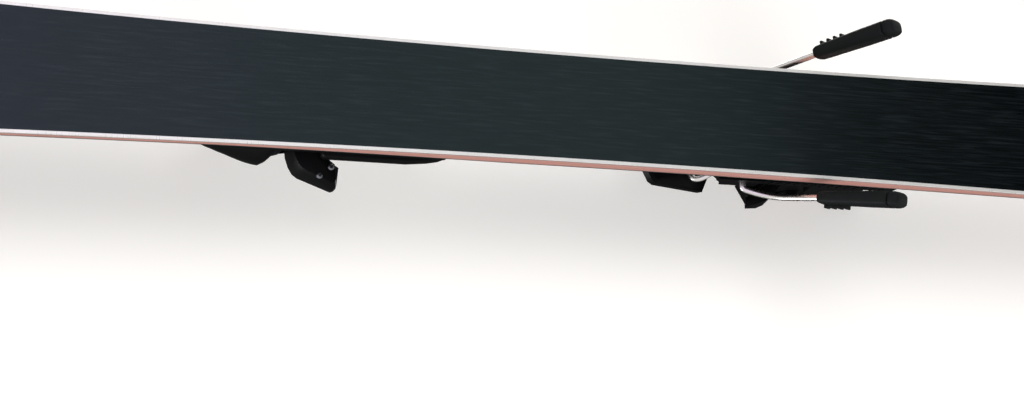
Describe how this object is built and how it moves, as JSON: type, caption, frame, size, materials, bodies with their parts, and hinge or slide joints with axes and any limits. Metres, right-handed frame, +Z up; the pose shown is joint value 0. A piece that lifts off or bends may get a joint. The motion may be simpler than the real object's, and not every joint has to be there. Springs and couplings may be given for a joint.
{
  "type": "carving ski",
  "caption": "Carving ski with coral sidewalls, step-in toe and heel binding on risers, and a ski brake that springs down beside the steel edges.",
  "frame": {"origin": "on the running surface, under the middle of the boot sole", "axes": "+X towards the tip, +Y to the left, +Z up, away from the snow"},
  "size_m": [1.6996, 0.118, 0.1754],
  "materials": {
    "base": "semi-gloss",
    "edge": "ground",
    "laminate": "satin",
    "core": "bare",
    "coral": "satin",
    "topsheet": "gloss",
    "black_plastic": "satin",
    "grey_plastic": "satin",
    "white_plastic": "polished",
    "clear": "clear",
    "rubber": "matte",
    "wire": "bright",
    "zinc_steel": "zinc plated"
  },
  "bodies": {
    "ski": {"running_base": "base", "edge_left": "edge", "edge_right": "edge", "lower_laminate": "laminate", "wood_core": "core", "sidewall_left": "coral", "sidewall_right": "coral", "upper_laminate": "laminate", "topsheet": "topsheet", "tip_protector": "black_plastic", "tail_protector": "black_plastic", "toe_riser": "black_plastic", "heel_riser": "black_plastic", "toe_plate": "black_plastic", "toe_housing": "black_plastic", "toe_cover": "grey_plastic", "toe_window": "clear", "toe_wing_pin_left": "zinc_steel", "toe_wing_pin_right": "zinc_steel", "toe_spring": "wire", "afd_base": "black_plastic", "heel_track": "black_plastic", "toe_screw_1": "zinc_steel", "toe_screw_2": "zinc_steel", "toe_screw_3": "zinc_steel", "toe_screw_4": "zinc_steel", "heel_screw_1": "zinc_steel", "heel_screw_2": "zinc_steel", "heel_screw_3": "zinc_steel", "heel_screw_4": "zinc_steel"},
    "wing_left": {"toe_wing_left": "black_plastic"},
    "wing_right": {"toe_wing_right": "black_plastic"},
    "afd_plate": {"afd_slider": "white_plastic"},
    "toe_piston_body": {"toe_piston": "zinc_steel"},
    "toe_value_screw_body": {"toe_value_screw": "zinc_steel"},
    "toe_nut_body": {"toe_spring_nut": "zinc_steel"},
    "carriage": {"heel_carriage": "black_plastic", "heel_jaw_pin": "zinc_steel", "brake_base": "black_plastic", "brake_spring_pin": "zinc_steel", "brake_spring": "wire"},
    "pressure_screw_body": {"heel_pressure_screw": "zinc_steel"},
    "jaw": {"heel_jaw": "black_plastic", "heel_lever_pin": "zinc_steel", "heel_spring": "wire"},
    "lever": {"heel_lever": "black_plastic"},
    "heel_piston_body": {"heel_piston": "zinc_steel"},
    "heel_value_screw_body": {"heel_value_screw": "zinc_steel"},
    "heel_nut_body": {"heel_spring_nut": "zinc_steel"},
    "brake_arms": {"brake_wire": "wire", "brake_pad_left": "rubber", "brake_pad_right": "rubber"},
    "pedal": {"brake_pedal": "black_plastic"}
  },
  "joints": [
    {"name": "toe_wing_left_open", "type": "hinge", "parent": "ski", "child": "wing_left", "pos_m": [0.164, 0.0115, 0.06], "axis": [0, 0, -1], "range_deg": [0, 18], "stiffness_Nm_per_rad": 6, "springref_deg": -17.19},
    {"name": "toe_wing_right_open", "type": "hinge", "parent": "ski", "child": "wing_right", "pos_m": [0.164, -0.0115, 0.06], "axis": [0, 0, 1], "range_deg": [0, 18], "stiffness_Nm_per_rad": 6, "springref_deg": -17.19},
    {"name": "afd_slide", "type": "slide", "parent": "ski", "child": "afd_plate", "axis": [0, 1, 0], "range_m": [-0.008, 0.008], "stiffness_N_per_m": 400},
    {"name": "toe_piston_slide", "type": "slide", "parent": "ski", "child": "toe_piston_body", "axis": [1, 0, 0], "range_m": [0, 0.004], "stiffness_N_per_m": 2000, "springref_m": -0.004, "deforming": ["toe_spring"]},
    {"name": "toe_value_turn", "type": "hinge", "parent": "ski", "child": "toe_value_screw_body", "pos_m": [0.2, 0, 0.0478], "axis": [1, 0, 0], "range_deg": [-720, 720]},
    {"name": "toe_nut_slide", "type": "slide", "parent": "ski", "child": "toe_nut_body", "axis": [1, 0, 0], "range_m": [-0.003, 0.003]},
    {"name": "heel_slide", "type": "slide", "parent": "ski", "child": "carriage", "axis": [1, 0, 0], "range_m": [-0.006, 0.006]},
    {"name": "heel_pressure_screw_turn", "type": "hinge", "parent": "carriage", "child": "pressure_screw_body", "pos_m": [-0.2, 0, 0.041], "axis": [1, 0, 0], "range_deg": [-545, 545]},
    {"name": "heel_jaw_open", "type": "hinge", "parent": "carriage", "child": "jaw", "pos_m": [-0.189, 0, 0.062], "axis": [0, -1, 0], "range_deg": [0, 35]},
    {"name": "heel_lever_tilt", "type": "hinge", "parent": "jaw", "child": "lever", "pos_m": [-0.181, 0, 0.0955], "axis": [0, -1, 0], "range_deg": [0, 17.5]},
    {"name": "heel_piston_slide", "type": "slide", "parent": "jaw", "child": "heel_piston_body", "axis": [-1, 0, 0], "range_m": [0, 0.003], "deforming": ["heel_spring"]},
    {"name": "heel_value_turn", "type": "hinge", "parent": "jaw", "child": "heel_value_screw_body", "pos_m": [-0.2, 0, 0.078], "axis": [-1, 0, 0], "range_deg": [-720, 720]},
    {"name": "heel_nut_slide", "type": "slide", "parent": "jaw", "child": "heel_nut_body", "axis": [1, 0, 0], "range_m": [-0.003, 0.003]},
    {"name": "brake_arm_swing", "type": "hinge", "parent": "carriage", "child": "brake_arms", "pos_m": [-0.1225, 0, 0.0403], "axis": [0, 1, 0], "range_deg": [0, 44], "stiffness_Nm_per_rad": 3, "springref_deg": -71.62, "deforming": ["brake_spring"]},
    {"name": "brake_pedal_tilt", "type": "hinge", "parent": "brake_arms", "child": "pedal", "pos_m": [-0.0945, 0, 0.0623], "axis": [0, 1, 0], "range_deg": [-68, 0]}
  ],
  "couplings": [
    {"joint": "toe_value_turn", "follows": "toe_nut_slide", "rad_per_m": -4188.8},
    {"joint": "heel_pressure_screw_turn", "follows": "heel_slide", "rad_per_m": 1570.8},
    {"joint": "heel_lever_tilt", "follows": "heel_jaw_open", "ratio": 0.5},
    {"joint": "heel_piston_slide", "follows": "heel_jaw_open", "m_per_rad": 0.0047474},
    {"joint": "heel_value_turn", "follows": "heel_nut_slide", "rad_per_m": 4188.8},
    {"joint": "brake_pedal_tilt", "follows": "brake_arm_swing", "ratio": -1.5454}
  ]
}
